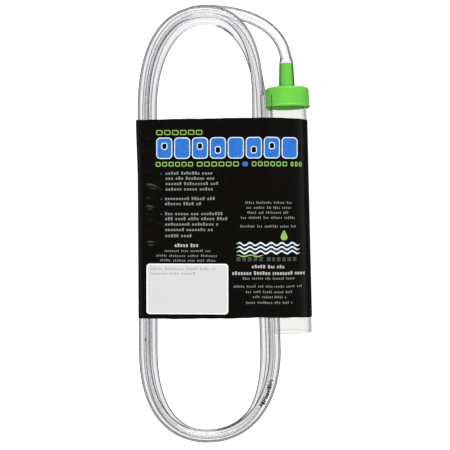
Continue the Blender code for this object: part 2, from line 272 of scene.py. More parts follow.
# ---------------------------------------------------------------- materials
def clear_plastic(name, tint, edge, roughness, ior, pale_crowns=False):
    """Refracting plastic, with painted shade: its tint darkens as it is seen edge-on.
    edge is (how edge-on, share of light) stops.

    pale_crowns paints light onto the inner half of the coil's end bends, taking most of that
    painted shade off there.
    """
    material, tree, bsdf = new_material(name)
    set_values(bsdf, Transmission_Weight=1.0, IOR=ior, Roughness=roughness)
    facing = node(tree, "ShaderNodeLayerWeight", Blend=0.5)
    # Painted shade: the share of the tint falls as the surface turns edge-on.
    stops = [(0.0, tint)] + [(position, shade(tint, share)) for position, share in edge]
    colour = ramp(tree, facing.outputs["Facing"], stops)
    # Painted light: the inner half of the coil's end bends keeps most of its plain tint.
    if pale_crowns:
        geometry = node(tree, "ShaderNodeNewGeometry")
        place = split_xyz(tree, geometry.outputs["Position"])
        mix, factor, first, second = mix_colour(tree)
        crowns = inner_crowns(tree, place, near=0.008, far=0.021)
        tree.links.new(calc(tree, "MULTIPLY", crowns, 0.85), factor)
        tree.links.new(colour, first)
        second.default_value = (*tint, 1.0)
        colour = mix.outputs["Color"]
    tree.links.new(colour, bsdf.inputs["Base Color"])
    return material


def moulded_plastic(name, colour, roughness):
    """Opaque moulded plastic with a fine satin texture and slight colour variation."""
    material, tree, bsdf = new_material(name)
    coord = node(tree, "ShaderNodeTexCoord")
    cloud = object_noise(tree, coord, Scale=90.0, Detail=4.0)
    tone(tree, bsdf, cloud, [(0.3, shade(colour, 0.93)), (0.7, shade(colour, 1.04))])
    grain = object_noise(tree, coord, Scale=2600.0, Detail=2.0)
    bump(tree, bsdf, grain, strength=0.12, distance=0.03 * MM)
    vary_roughness(tree, bsdf, cloud, low=roughness - 0.05, high=roughness + 0.08)
    set_values(bsdf, Subsurface_Weight=0.08, Subsurface_Radius=(0.6, 1.0, 0.4),
               Subsurface_Scale=1.0 * MM, Specular_IOR_Level=0.45)
    return material


def film(name, colour, roughness):
    """Bare glossy film with a fine crinkle in the gloss."""
    return crinkled(name, roughness, [(0.3, colour), (0.8, shade(colour, 1.3))])


def ink(name, colour):
    """Ink on the film, a little flatter than the bare film."""
    return crinkled(name, 0.24, [(0.25, shade(colour, 0.9)), (0.7, colour)])


def crinkled(name, roughness, stops):
    material, tree, bsdf = new_material(name)
    coord = node(tree, "ShaderNodeTexCoord")
    crinkle = object_noise(tree, coord, Scale=260.0, Detail=3.0, Roughness=0.55)
    tone(tree, bsdf, crinkle, stops)
    vary_roughness(tree, bsdf, crinkle, low=roughness, high=roughness + 0.1,
                   From_Min=0.3, From_Max=0.7)
    bump(tree, bsdf, crinkle, strength=0.25, distance=0.05 * MM)
    set_values(bsdf, Specular_IOR_Level=0.5)
    return material


def paper(name, colour, roughness=0.55):
    """Matt paper with a fine fibre."""
    material, tree, bsdf = new_material(name)
    coord = node(tree, "ShaderNodeTexCoord")
    fibre = object_noise(tree, coord, Scale=1500.0, Detail=5.0, Roughness=0.7)
    tone(tree, bsdf, fibre, [(0.3, shade(colour, 0.96)), (0.7, shade(colour, 1.02))])
    bump(tree, bsdf, fibre, strength=0.15, distance=0.02 * MM)
    set_values(bsdf, Roughness=roughness)
    return material


# Each edge list below is painted shade: how edge-on, and the share of the tint left there.
HOSE_TINT = (0.985, 0.983, 0.995)
HOSE_CLEAR = clear_plastic(
    "hose_clear", tint=HOSE_TINT, edge=((0.20, 1.0), (0.34, 0.44), (0.50, 0.09), (1.0, 0.06)),
    roughness=0.0, ior=1.50, pale_crowns=True)
BORE_CLEAR = clear_plastic(
    "bore_clear", tint=HOSE_TINT, edge=((0.40, 1.0), (0.80, 0.85), (1.0, 0.75)),
    roughness=0.0, ior=1.50)
# Light goes almost straight through the faces where two lengths of hose meet.
JOINED = clear_plastic(
    "hose_joined", tint=grey(1.0), edge=((1.0, 1.0),), roughness=0.0, ior=1.0005)
CUT_CLEAR = clear_plastic(
    "cut_clear", tint=(0.93, 0.94, 0.95), edge=((1.0, 0.9),), roughness=0.22, ior=1.30)
TUBE_CLEAR = clear_plastic(
    "tube_clear", tint=(0.992, 0.992, 0.978),
    edge=((0.50, 1.0), (0.64, 0.60), (0.76, 0.28), (1.0, 0.22)), roughness=0.0, ior=1.48)
TUBE_END = clear_plastic(
    "tube_end", tint=(0.62, 0.62, 0.60), edge=((1.0, 0.6),), roughness=0.30, ior=1.40)
GREEN = moulded_plastic("cap_green", colour=(0.145, 0.575, 0.058), roughness=0.38)
FILM_BLACK = film("film_black", colour=(0.0034, 0.0030, 0.0022), roughness=0.14)
FILM_INSIDE = film("film_inside", colour=(0.012, 0.011, 0.010), roughness=0.30)
INK_BLUE = ink("ink_blue", colour=(0.021, 0.168, 0.60))
INK_WHITE = ink("ink_white", colour=(0.70, 0.80, 0.87))
INK_GREEN = ink("ink_green", colour=(0.27, 0.50, 0.10))
INK_GREY = ink("ink_grey", colour=(0.215, 0.215, 0.210))
INK_PALE = ink("ink_pale", colour=(0.42, 0.42, 0.41))
INK_DIM = ink("ink_dim", colour=(0.060, 0.060, 0.058))
LABEL_FACE = paper("label_face", colour=(0.625, 0.629, 0.633))
LABEL_RIM = paper("label_rim", colour=grey(0.93))
LABEL_INK = paper("label_ink", colour=(0.40, 0.41, 0.42))
HOSE_INK = paper("hose_ink", colour=grey(0.01), roughness=0.4)

# ---------------------------------------------------------------- hose centre line
# The hose leaves the cap's stem and makes three turns, one layer above another. A turn is a left
# run, a bottom bend, a right run and a top bend; each bend is two quarters meeting at its crown.
FILM_CAD, GAP = 0.5 * MM, 0.3 * MM
LAYER_1 = FILM_CAD + GAP + HOSE_R
LAYER_STEP = 2 * HOSE_R + GAP
LAYER_Z = (LAYER_1, LAYER_1 + LAYER_STEP, LAYER_1 + 2 * LAYER_STEP)
OVER_TUBE_Z, OVER_CAP_Z = 26.4 * MM, 27.7 * MM  # the last run's height at its two ends
# Straight runs: x at the top and bottom end in each layer, y at the top and bottom end.
LEFT_RUN_X = ((-51.0 * MM, -50.3 * MM), (-47.3 * MM, -46.8 * MM), (-51.7 * MM, -50.8 * MM))
RIGHT_RUN_X = ((25.7 * MM, 31.9 * MM), (23.0 * MM, 28.2 * MM), (28.1 * MM, 33.4 * MM))
LEFT_RUN_Y = (69.0 * MM, -87.4 * MM)
RIGHT_RUN_Y = (67.0 * MM, -84.0 * MM)
# Crowns, x and y.
LEAD_CROWN = (-12.0 * MM, 137.2 * MM)
TOP_CROWNS = ((-11.8 * MM, 130.2 * MM), (-11.7 * MM, 133.5 * MM))
BOTTOM_CROWNS = ((-10.6 * MM, -145.0 * MM), (-10.5 * MM, -143.6 * MM), (-10.4 * MM, -142.8 * MM))
# Bezier reach as a share of the quarter's chord, in each layer: at the crown, at the run.
TOP_LEFT = ((0.42, 0.32), (0.27, 0.56), (0.51, 0.21))
TOP_RIGHT = ((0.27, 0.64), (0.51, 0.18))
BOTTOM_LEFT = ((0.40, 0.45), (0.27, 0.64), (0.24, 0.66))
BOTTOM_RIGHT = ((0.40, 0.45), (0.27, 0.72), (0.45, 0.36))
LEAD = (0.74, 0.16)  # at the crown, at the stem
# The shares of a quarter between which it climbs.
LEAD_CLIMB, BOTTOM_CLIMB, TOP_CLIMBS = (0.0, 0.8), (0.1, 0.85), ((0.4, 1.0), (0.25, 0.9))
HOSE_START = -0.35 * MM  # down the head's axis
FREE_END_Y = 78.1 * MM
SEAM_Y = SLEEVE_HI.y - 3.0 * MM  # the moving end of the hose starts just inside the sleeve
QUARTER_STEPS, RUN_STEPS, LAST_RUN_STEPS = 160, 40, 80


def quarter(start, start_way, start_reach, end, end_way, end_reach, z0, z1, climb=(0.0, 1.0)):
    """A Bezier curve from start to end, without its first point."""
    chord = (end - start).length
    a, b = start + start_way * start_reach * chord, end - end_way * end_reach * chord
    points = []
    for i in range(1, QUARTER_STEPS + 1):
        t = i / QUARTER_STEPS
        flat = start * (1 - t) ** 3 + a * 3 * (1 - t) ** 2 * t + b * 3 * (1 - t) * t * t + end * t**3
        z = z0 + (z1 - z0) * smooth((t - climb[0]) / (climb[1] - climb[0]))
        points.append((flat.x, flat.y, z))
    return points


def straight(start, end, z0, z1, steps=RUN_STEPS):
    """Points from start to end, without the first."""
    return [(*(start + (end - start) * (i / steps)), z0 + (z1 - z0) * i / steps)
            for i in range(1, steps + 1)]


def hose_path():
    """The hose's centre line, the same as the CAD's, and the point count where each run starts."""
    run_starts = {}
    down = Vector(HEAD_DOWN[:2])
    head = Vector(HEAD_ORIGIN[:2])
    start = head + down * HOSE_START
    tip = head - down * STEM_LEN
    z = HEAD_ORIGIN.z
    path = [(*start, z)] + straight(start, tip, z, z)
    west, east = Vector((-1.0, 0.0)), Vector((1.0, 0.0))
    crown = Vector(LEAD_CROWN)
    path += quarter(tip, -down, LEAD[1], crown, west, LEAD[0], z, LAYER_Z[0], LEAD_CLIMB)
    for k, z in enumerate(LAYER_Z):
        left_top, left_bottom = (Vector(p) for p in zip(LEFT_RUN_X[k], LEFT_RUN_Y))
        right_top, right_bottom = (Vector(p) for p in zip(RIGHT_RUN_X[k], RIGHT_RUN_Y))
        bottom = Vector(BOTTOM_CROWNS[k])
        falling = (left_bottom - left_top).normalized()
        rising = (right_top - right_bottom).normalized()
        at_crown, at_run = TOP_LEFT[k]
        path += quarter(crown, west, at_crown, left_top, falling, at_run, z, z)
        run_starts["left", k] = len(path)
        path += straight(left_top, left_bottom, z, z)
        at_crown, at_run = BOTTOM_LEFT[k]
        path += quarter(left_bottom, falling, at_run, bottom, east, at_crown, z, z)
        above = OVER_TUBE_Z if k == 2 else z
        at_crown, at_run = BOTTOM_RIGHT[k]
        path += quarter(bottom, east, at_crown, right_bottom, rising, at_run, z, above,
                        BOTTOM_CLIMB)
        run_starts["right", k] = len(path)
        if k < 2:
            path += straight(right_bottom, right_top, z, z)
            crown = Vector(TOP_CROWNS[k])
            at_crown, at_run = TOP_RIGHT[k]
            path += quarter(right_top, rising, at_run, crown, west, at_crown, z, LAYER_Z[k + 1],
                            TOP_CLIMBS[k])
        else:
            last = right_top + rising * ((FREE_END_Y - right_top.y) / rising.y)
            path += straight(right_bottom, last, above, OVER_CAP_Z, LAST_RUN_STEPS)
    return np.array([tuple(p) for p in path]), run_starts


PATH, RUN_STARTS = hose_path()
DISTANCE = np.concatenate([[0.0], np.cumsum(np.linalg.norm(np.diff(PATH, axis=0), axis=1))])
HEADING = np.gradient(PATH, DISTANCE, axis=0)
for _ in range(6):  # the headings, smoothed a little where a bend meets a run
    HEADING[1:-1] = (HEADING[:-2] + 2 * HEADING[1:-1] + HEADING[2:]) / 4
HEADING /= np.linalg.norm(HEADING, axis=1)[:, None]


def hose_at(distance):
    """The hose's centre, heading, side and upward direction at a distance along it."""
    centre = np.array([np.interp(distance, DISTANCE, PATH[:, i]) for i in range(3)])
    heading = np.array([np.interp(distance, DISTANCE, HEADING[:, i]) for i in range(3)])
    heading /= np.linalg.norm(heading)
    side = np.cross(heading, (0, 0, 1.0))
    side /= np.linalg.norm(side)
    return centre, heading, side, np.cross(side, heading)


def last_run_distance(y):
    """The distance along the hose at which its last run reaches y."""
    first = RUN_STARTS["right", 2]
    return float(np.interp(y, PATH[first:, 1], DISTANCE[first:]))


# ---------------------------------------------------------------- hose
# Skin and bore radius where the hose is stretched over the stem, mm.
STEM_FOOT_RADII_MM = (5.2, 4.35)
STEM_TIP_RADII_MM = (4.6, 3.7)
RELAX_LEN = 5.0 * MM  # past the stem, over which the hose returns to its own size
CUT_EDGE = 0.12 * MM
HOSE_AROUND = 56
SKIN, BORE, CUT, JOIN = range(4)  # material slots of a hose piece


def hose_radii(distance):
    """Skin and bore radius."""
    grip = STEM_LEN + HOSE_START
    if distance <= grip:
        start, end, t = STEM_FOOT_RADII_MM, STEM_TIP_RADII_MM, distance / grip
    else:
        start, end, t = STEM_TIP_RADII_MM, HOSE_RADII_MM, smooth((distance - grip) / RELAX_LEN)
    return tuple((a + (b - a) * t) * MM for a, b in zip(start, end))


def hose_stops(first, last, longest):
    """Ring distances: every 1.6 degrees of turning, every 6 mm (0.8 mm near the cap), or longest."""
    found, turned_by, before = [first], 0.0, None
    for distance, heading in zip(DISTANCE, HEADING):
        if not first < distance < last:
            continue
        if before is not None:
            turned_by += math.acos(max(-1.0, min(1.0, float(heading @ before))))
            furthest = 0.8 * MM if distance < 26 * MM else 6 * MM
            if turned_by > math.radians(1.6) or distance - found[-1] > furthest:
                found.append(float(distance))
                turned_by = 0.0
        before = heading
    if last - found[-1] < 0.4 * MM:
        found.pop()
    stops = []
    for a, b in zip(found, found[1:] + [last]):
        steps = math.ceil((b - a) / longest)
        stops += [a + (b - a) * k / steps for k in range(steps)]
    return stops + [last]


def hose_rings(first, last, joined, longest):
    """Rings as (distance, radius, shift along the hose, finish of the band to the next ring).

    They run along the skin from first to last, across the cut and back along the bore.
    """
    stops = hose_stops(first, last, longest)
    skin, bore = hose_radii(first)
    end_skin, end_bore = hose_radii(last)
    edge = CUT_EDGE
    if joined[0]:
        rings = [(first, skin, 0.0, SKIN)]
    else:
        rings = [
            (first, skin - edge, 0.0, CUT),
            (first, skin - edge * 0.3, edge * 0.3, CUT),
            (first, skin, edge, SKIN),
        ]
    rings += [(stop, hose_radii(stop)[0], 0.0, SKIN) for stop in stops[1:-1]]
    if joined[1]:
        rings += [(last, end_skin, 0.0, JOIN), (last, end_bore, 0.0, BORE)]
    else:
        rings += [
            (last, end_skin, -edge, CUT),
            (last, end_skin - edge * 0.3, -edge * 0.3, CUT),
            (last, end_skin - edge, 0.0, CUT),
            (last, end_bore + edge * 0.5, 0.0, CUT),
            (last, end_bore, -edge * 0.5, BORE),
        ]
    rings += [(stop, hose_radii(stop)[1], 0.0, BORE) for stop in stops[-2:0:-1]]
    if joined[0]:
        rings += [(first, bore, 0.0, JOIN)]
    else:
        rings += [(first, bore, edge * 0.5, CUT), (first, bore + edge * 0.5, 0.0, CUT)]
    return rings


def hose_piece(name, first, last, joined, longest):
    """A hollow length of hose. Ends that aren't joined to another length have softened edges."""
    rings = hose_rings(first, last, joined, longest)
    verts, faces, finishes = [], [], []
    for k, (distance, radius, shift, finish) in enumerate(rings):
        centre, heading, side, up = hose_at(distance)
        here, following = k * HOSE_AROUND, (k + 1) % len(rings) * HOSE_AROUND
        for i in range(HOSE_AROUND):
            angle = 2 * math.pi * i / HOSE_AROUND
            j = (i + 1) % HOSE_AROUND
            spoke = side * math.cos(angle) + up * math.sin(angle)
            verts.append(centre + heading * shift + spoke * radius)
            faces.append((following + i, following + j, here + j, here + i))
            finishes.append(finish)
    return mesh_object(name, verts, faces, [HOSE_CLEAR, BORE_CLEAR, CUT_CLEAR, JOINED], finishes)


# Runs of ink dashes: first and last distance along the hose, m; angle about it; half height; seed.
HOSE_PRINT = (
    (1.7205, 1.7385, math.radians(98), 1.45 * MM, 5),
    (0.7065, 0.7215, math.radians(158), 1.3 * MM, 8),
    (1.5905, 1.5925, math.radians(104), 0.6 * MM, 2),
)
DASH_ROWS, DASH_COLS = 4, 7
DASH_LEVELS = (0.045 * MM, 0.012 * MM)  # heights of its two sides above the skin
DASH_LENGTHS, DASH_GAPS = (0.7, 1.0, 1.3), (0.35, 0.5)  # mm
DASH_SPANS = ((-1.0, 1.0), (-1.0, 0.3), (-0.4, 1.0), (-1.0, 1.0))  # in half heights


def hose_print():
    verts, faces = [], []
    for first, last, angle, half_height, seed in HOSE_PRINT:
        rng = random.Random(seed)
        start = first
        while start < last:
            length = rng.choice(DASH_LENGTHS) * MM
            low, high = rng.choice(DASH_SPANS)
            faces += sheet_faces(len(verts), DASH_ROWS, DASH_COLS)
            for level in DASH_LEVELS:
                for r in range(DASH_ROWS):
                    distance = start + length * r / (DASH_ROWS - 1)
                    centre, _, side, up = hose_at(distance)
                    radius = hose_radii(distance)[0] + level
                    for k in range(DASH_COLS):
                        share = low + (high - low) * k / (DASH_COLS - 1)
                        a = angle + half_height / radius * share
                        verts.append(centre + (side * math.cos(a) + up * math.sin(a)) * radius)
            start += length + rng.choice(DASH_GAPS) * MM
    return mesh_object("hose_print", verts, faces, [HOSE_INK])


SEAM_DISTANCE = last_run_distance(SEAM_Y)
coil = hose_piece("hose", 0.0, SEAM_DISTANCE, joined=(False, True), longest=12 * MM)
tail = hose_piece("hose_end", SEAM_DISTANCE + 0.01 * MM, float(DISTANCE[-1]),
                  joined=(True, False), longest=0.8 * MM)  # short rings
register(coil, "hose", replaces="hose_coil")
register(hose_print(), "hose")
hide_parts("hose_free_end")
bend_way = Vector(hose_at(SEAM_DISTANCE + 6 * MM)[1])
pivot = Vector(hose_at(last_run_distance(TAIL_PIVOT.y))[0])
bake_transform(tail)

# ---------------------------------------------------------------- cap and tube
FILLET_STEPS = 5


def rounded(profile):
    """A profile of (radius, distance down, fillet) corners with each fillet drawn as an arc."""
    points = []
    for i, (r, z, fillet) in enumerate(profile):
        here = Vector((r, z))
        a = Vector(profile[i - 1][:2]) - here
        b = Vector(profile[(i + 1) % len(profile)][:2]) - here
        length_a, length_b = a.length, b.length
        a, b = a / length_a, b / length_b
        half = a.angle(b) / 2
        cut = min(fillet / math.tan(half), length_a * 0.49, length_b * 0.49)
        fillet = cut * math.tan(half)
        centre = here + (a + b).normalized() * (fillet / math.sin(half))
        start, end = here + a * cut - centre, here + b * cut - centre
        sweep = start.angle_signed(end)
        for k in range(FILLET_STEPS + 1):
            t = -sweep * k / FILLET_STEPS
            spoke = Vector((start.x * math.cos(t) - start.y * math.sin(t),
                            start.x * math.sin(t) + start.y * math.cos(t)))
            points.append((centre.x + spoke.x, centre.y + spoke.y))
    return points


def supported(profile, edge=0.12 * MM, longest=8.0 * MM):
    """Rings close to both ends of every long run, so that a fillet's shading stays in the fillet."""
    points = []
    for p, q in zip(profile, profile[1:] + profile[:1]):
        points.append(p)
        length = math.hypot(q[0] - p[0], q[1] - p[1])
        if length < 3 * edge:
            continue
        inner = length - 2 * edge
        steps = max(1, math.ceil(inner / longest))
        for k in range(steps + 1):
            t = (edge + inner * k / steps) / length
            points.append((p[0] + (q[0] - p[0]) * t, p[1] + (q[1] - p[1]) * t))
    return points


def turned(name, corners, around, material):
    """A closed profile of rounded corners spun about the head's axis."""
    sharp = 40
    profile = supported(rounded(corners))
    verts, faces = [], []
    n = len(profile)
    for k in range(around):
        angle = 2 * math.pi * k / around
        spoke = HEAD_SIDE * math.cos(angle) + Vector((0, 0, 1)) * math.sin(angle)
        for r, z in profile:
            verts.append(HEAD_ORIGIN + HEAD_DOWN * z + spoke * r)
        m = (k + 1) % around
        for i in range(n):
            j = (i + 1) % n
            faces.append((k * n + i, k * n + j, m * n + j, m * n + i))
    obj = mesh_object(name, verts, faces, [material], sharp=sharp)
    bm = bmesh.new()
    bm.from_mesh(obj.data)
    bmesh.ops.recalc_face_normals(bm, faces=bm.faces)
    bm.to_mesh(obj.data)
    bm.free()
    obj.data.set_sharp_from_angle(angle=math.radians(sharp))
    return obj


# Corners: radius, distance down the head's axis, fillet, mm.
CAP = [(r * MM, z * MM, fillet * MM) for r, z, fillet in (
    # outside of the stem
    (1.7, -16.0, 0.2), (3.72, -16.0, 0.35), (4.385, 0.0, 0.02),
    # outside of the body and its rim
    (12.3, 0.0, 1.6), (14.15, 0.75, 1.7), (14.52, 11.5, 0.25), (14.85, 11.95, 0.25),
    (14.85, 13.1, 0.4), (12.95, 13.1, 0.25), (12.8, 12.7, 0.2),
    # inside of the body, to the stem's bore
    (12.8, 4.55, 0.25), (10.8, 4.55, 0.3), (10.8, 2.2, 0.8), (2.9, 2.2, 0.5), (1.7, 1.3, 0.3),
)]
TUBE = [  # the same columns, m
    (TUBE_BORE_R, TUBE_TOP, 0.3 * MM), (TUBE_R, TUBE_TOP, 0.3 * MM),
    (TUBE_R, TUBE_MOUTH, 0.35 * MM), (TUBE_BORE_R, TUBE_MOUTH, 0.35 * MM),
]

register(turned("cap", CAP, 160, GREEN), "cap", replaces="tube_cap")

tube = turned("tube", TUBE, 192, TUBE_CLEAR)
tube.data.materials.append(TUBE_END)
for polygon in tube.data.polygons:
    if (Vector(polygon.center) - HEAD_ORIGIN).dot(HEAD_DOWN) > TUBE_MOUTH - 0.30 * MM:
        polygon.material_index = 1
register(tube, "tube", replaces="gravel_tube")

# ---------------------------------------------------------------- film sleeve: columns
FILM_T = 0.12 * MM
SNUG = 0.16 * MM  # between the hose and the film's outer face
TOP_Y, BOTTOM_Y = SLEEVE_HI.y, SLEEVE_LO.y
CELL = 0.60 * MM  # the width of one printed cell
LEFT_TOP_HOSE, RIGHT_TOP_HOSE = 2, 5  # circles the flat front is stretched between


def strand(mark, y):
    """x and z of one straight run of hose at y."""
    first = RUN_STARTS[mark]
    run = PATH[first - 1:] if mark == ("right", 2) else PATH[first - 1:first + RUN_STEPS]
    run = run[np.argsort(run[:, 1])]
    return float(np.interp(y, run[:, 1], run[:, 0])), float(np.interp(y, run[:, 1], run[:, 2]))


def circles(y):
    """The six strands of hose and the tube that the film is drawn around, as (x, z, radius)."""
    found = [(*strand((side, k), y), HOSE_R + SNUG) for side in ("left", "right") for k in range(3)]
    axis = HEAD_ORIGIN + HEAD_DOWN * ((y - HEAD_ORIGIN.y) / HEAD_DOWN.y)
    return found + [(axis.x, axis.z, TUBE_R + 3 * SNUG)]


def on_circle(circle, angle):
    x, z, radius = circle
    return x + radius * math.cos(angle), z + radius * math.sin(angle)


def touching(rounds):
    """[circle, first angle, last angle] where the film touches, from the left over the front."""
    runs = []
    for k in range(1441):
        a = math.pi - 2 * math.pi * k / 1440
        reach = [x * math.cos(a) + z * math.sin(a) + radius for x, z, radius in rounds]
        furthest = reach.index(max(reach))
        if runs and runs[-1][0] == furthest:
            runs[-1][2] = a
        else:
            runs.append([furthest, a, a])
    return runs


def columns():
    """The film's columns as (circle, angle, circle, angle, share between those two places)."""
    rounds = circles(0.0)
    runs = touching(rounds)
    found = []
    for k, (i, first, last) in enumerate(runs):
        a = first
        while a > last:
            found.append((i, a, i, a, 0.0))
            cell_turn = 1.0
            if math.sin(a) > 0.5:
                cell_turn = CELL / (rounds[i][2] * max(math.sin(a), 1e-3))
            a -= min(math.radians(6.0 if math.sin(a) > 0.1 else 9.0), cell_turn)
        found.append((i, last, i, last, 0.0))
        if k + 1 == len(runs):
            break
        j, b = runs[k + 1][:2]
        p, q = on_circle(rounds[i], last), on_circle(rounds[j], b)
        gap = math.hypot(q[0] - p[0], q[1] - p[1])
        steps = max(1, round(gap / (CELL if math.sin(last) > 0.3 else 2.6 * MM)))
        found += [(i, last, j, b, step / steps) for step in range(1, steps)]
    return found[:-1]


COLS = columns()


def section(y):
    """x and z of every column at y."""
    rounds = circles(y)
    points = []
    for i, a, j, b, share in COLS:
        p, q = on_circle(rounds[i], a), on_circle(rounds[j], b)
        points.append((p[0] + (q[0] - p[0]) * share, p[1] + (q[1] - p[1]) * share))
    return np.array(points)


MIDDLE = section(0.0)
PANEL_COLS = [n for n, (i, a, j, b, share) in enumerate(COLS)
              if i == LEFT_TOP_HOSE and j == RIGHT_TOP_HOSE]
FRONT_COLS = [n for n in range(len(COLS))
              if n == 0 or (MIDDLE[n][1] > 14 * MM and MIDDLE[n][0] > MIDDLE[n - 1][0])]
BACK_COLS = [n for n in range(len(COLS)) if MIDDLE[n][1] < 4 * MM]
FRONT_SET = set(FRONT_COLS)
FOLD_X = MIDDLE[PANEL_COLS[0]][0]  # the left edge of the flat front
PANEL_W = MIDDLE[PANEL_COLS[-1]][0] - FOLD_X

# ---------------------------------------------------------------- film sleeve: shape
# Wrinkles in the front: x from the fold, distance below the top edge, half length, half width,
# height, fall, mm. A negative height is a hollow.
WRINKLES = (
    (4.6, 43.6, 3.4, 1.15, 0.64, 0.16), (10.5, 45.9, 5.0, 0.9, 0.46, 0.46),
    (3.6, 57.2, 3.6, 1.10, 0.66, 0.14), (2.6, 51.6, 2.4, 0.9, 0.30, 0.05),
    (8.5, 67.5, 6.5, 0.9, 0.32, 0.34), (3.0, 66.0, 3.0, 1.0, 0.26, 0.05),
    (4.2, 80.3, 3.8, 1.15, 0.70, 0.04), (4.6, 93.6, 4.2, 0.9, 0.46, 0.02),
    (3.2, 73.6, 3.0, 1.0, 0.34, 0.10), (3.4, 13.2, 3.2, 1.1, 0.32, 0.04),
    (3.6, 21.8, 3.4, 1.0, 0.30, 0.08), (4.4, 34.9, 4.4, 1.0, 0.36, 0.12),
    (6.0, 50.6, 5.0, 1.7, -0.24, 0.25), (7.0, 62.6, 6.0, 1.9, -0.20, 0.25),
    (5.0, 74.6, 6.0, 2.2, -0.16, 0.1), (8.0, 20.0, 9.0, 2.6, 0.14, 0.2),
    (6.0, 33.0, 7.0, 2.4, 0.16, 0.25), (6.0, 110.0, 6.0, 2.4, 0.14, -0.1),
    (62.0, 58.0, 16.0, 3.4, 0.12, 0.12), (70.0, 36.0, 14.0, 3.8, 0.10, -0.10),
    (50.0, 4.0, 20.0, 2.2, 0.16, 0.0), (30.0, 2.2, 12.0, 1.6, 0.12, 0.0),
    (60.0, 124.6, 16.0, 1.8, 0.14, 0.0), (76.0, 90.0, 7.0, 3.0, 0.12, -0.2),
)
SLACK_DIP, SLACK_RIPPLE = 0.55, 0.05  # how far the front sinks between the hoses, its ripple, mm
# Sag of the cut edges, mm, by x, mm.
TOP_SAG_X, TOP_SAG = (-56, -37, -20, 0, 20), (0.43, 0.40, 0.27, 0.25, 0.0)
BOTTOM_SAG_X = (-56, -40, -21, -8, 8, 24, 45, 52, 56)
BOTTOM_SAG = (1.55, 1.40, 0.95, 0.75, 0.22, -0.1, 0.0, 0.4, 0.75)
SAG_SHARE = 0.14  # the share of the sleeve's length that each edge's sag fades over


def relief(x, depth):
    """How far the film stands off the flat front, x mm from the fold, depth mm below the top."""
    width = PANEL_W / MM
    share = x / width
    inside = math.sin(math.pi * share) if 0.0 < share < 1.0 else 0.0
    calm = smooth(x / 2.5) * smooth((width + 14 - x) / 6.0) if x > 0 else 0.0
    height = -SLACK_DIP * inside
    for wrinkle_x, wrinkle_depth, half_length, half_width, rise, fall in WRINKLES:
        u = x - wrinkle_x
        v = (depth - wrinkle_depth) - fall * u
        if abs(v) < 3.2 * half_width and abs(u) < 3 * half_length:
            height += calm * rise * math.exp(-((u / half_length) ** 2) - (v / half_width) ** 2)
    height += SLACK_RIPPLE * inside * math.sin(x * 0.23 + 1.3) * math.sin(depth * 0.15 + 0.4)
    return height * MM


def edge_wave(n):
    """How far the cut edge strays along y at column n: outwards most in the middle of the front."""
    x = MIDDLE[n][0] / MM
    lift = 0.1
    if MIDDLE[n][1] > 14 * MM:
        lift = 0.55 * math.cos(min(max((x - 6.0) / 62.0, -1.0), 1.0) * math.pi / 2)
    return (lift + 0.12 * math.sin(x * 0.19 + 0.7) + 0.06 * math.sin(x * 0.53)) * MM


def sag(x, share):
    """How far the film hangs down near its two cut edges, mostly lower towards the left."""
    top = np.interp(x / MM, TOP_SAG_X, TOP_SAG) * smooth(1 - share / SAG_SHARE)
    bottom = np.interp(x / MM, BOTTOM_SAG_X, BOTTOM_SAG)
    return (top + bottom * smooth((share - (1 - SAG_SHARE)) / SAG_SHARE)) * MM


# The front's printing, greeked: every line of copy is a row of plain cells.
# Left x, right x, middle y, mm; style.
COPY = (
    (-37.2, -5.7, 27.8, "text"), (-37.2, -5.1, 24.5, "text"), (-37.2, -1.9, 21.1, "text"),
    (-37.2, -4.4, 17.6, "text"), (-37.2, -5.1, 11.5, "text"), (-37.2, -12.8, 8.2, "text"),
    (-37.2, 1.3, 1.8, "text"), (-37.2, 2.6, -1.4, "text"), (-37.2, -3.2, -4.9, "text"),
    (-37.2, -6.4, -8.4, "text"), (-37.2, -17.9, -12.3, "text"),
    (-31.4, -14.7, -18.4, "bold"), (-37.8, -7.7, -21.9, "small"), (-43.0, -2.5, -25.1, "small"),
    (-40.4, -5.1, -28.0, "small"),
    (14.2, 43.7, 8.9, "small"), (14.9, 43.4, 5.7, "small"), (15.8, 42.4, 2.5, "small"),
    (11.9, 45.9, -0.7, "small"), (11.0, 47.5, -6.2, "small"),
    (18.7, 40.5, -31.9, "pale"), (5.8, 52.7, -36.0, "bold"), (12.9, 46.6, -39.3, "small"),
    (7.1, 51.4, -44.4, "small"), (15.1, 44.3, -47.9, "small"), (19.0, 41.0, -51.1, "small"),
    (15.1, 44.9, -54.7, "small"), (8.7, 50.4, -26.9, "dim"),
)
# Cells in a mark, cells between marks, body height, height of a tall mark above it, mm; slot.
STYLES = {
    "text": (2, 1, 1.35, 0.55, 1), "small": (1, 1, 1.15, 0.40, 1), "pale": (2, 1, 1.50, 0.55, 2),
    "bold": (2, 1, 1.75, 0.50, 2), "dim": (4, 2, 2.60, 0.0, 3),
}
FILM_MATERIALS = [FILM_BLACK, INK_GREY, INK_PALE, INK_DIM, FILM_INSIDE]
BARE_SLOT, INSIDE_SLOT = 0, 4


def row_edges():
    """y of the film's rows, m, from the top, with a row at every edge of the printing."""
    marks = {TOP_Y / MM, BOTTOM_Y / MM}
    for _, _, y, style in COPY:
        body, above = STYLES[style][2:4]
        marks |= {round(y + body / 2, 2), round(y - body / 2, 2), round(y + body / 2 + above, 2)}
    found = []
    for y in sorted(marks, reverse=True):
        if found and found[-1] - y < 0.16:
            continue
        if found:
            steps = max(1, math.ceil((found[-1] - y) / (0.88)))
            found += [found[-1] + (y - found[-1]) * k / steps for k in range(1, steps)]
        found.append(y)
    found[-1] = BOTTOM_Y / MM
    return [y * MM for y in found]


ROWS = row_edges()


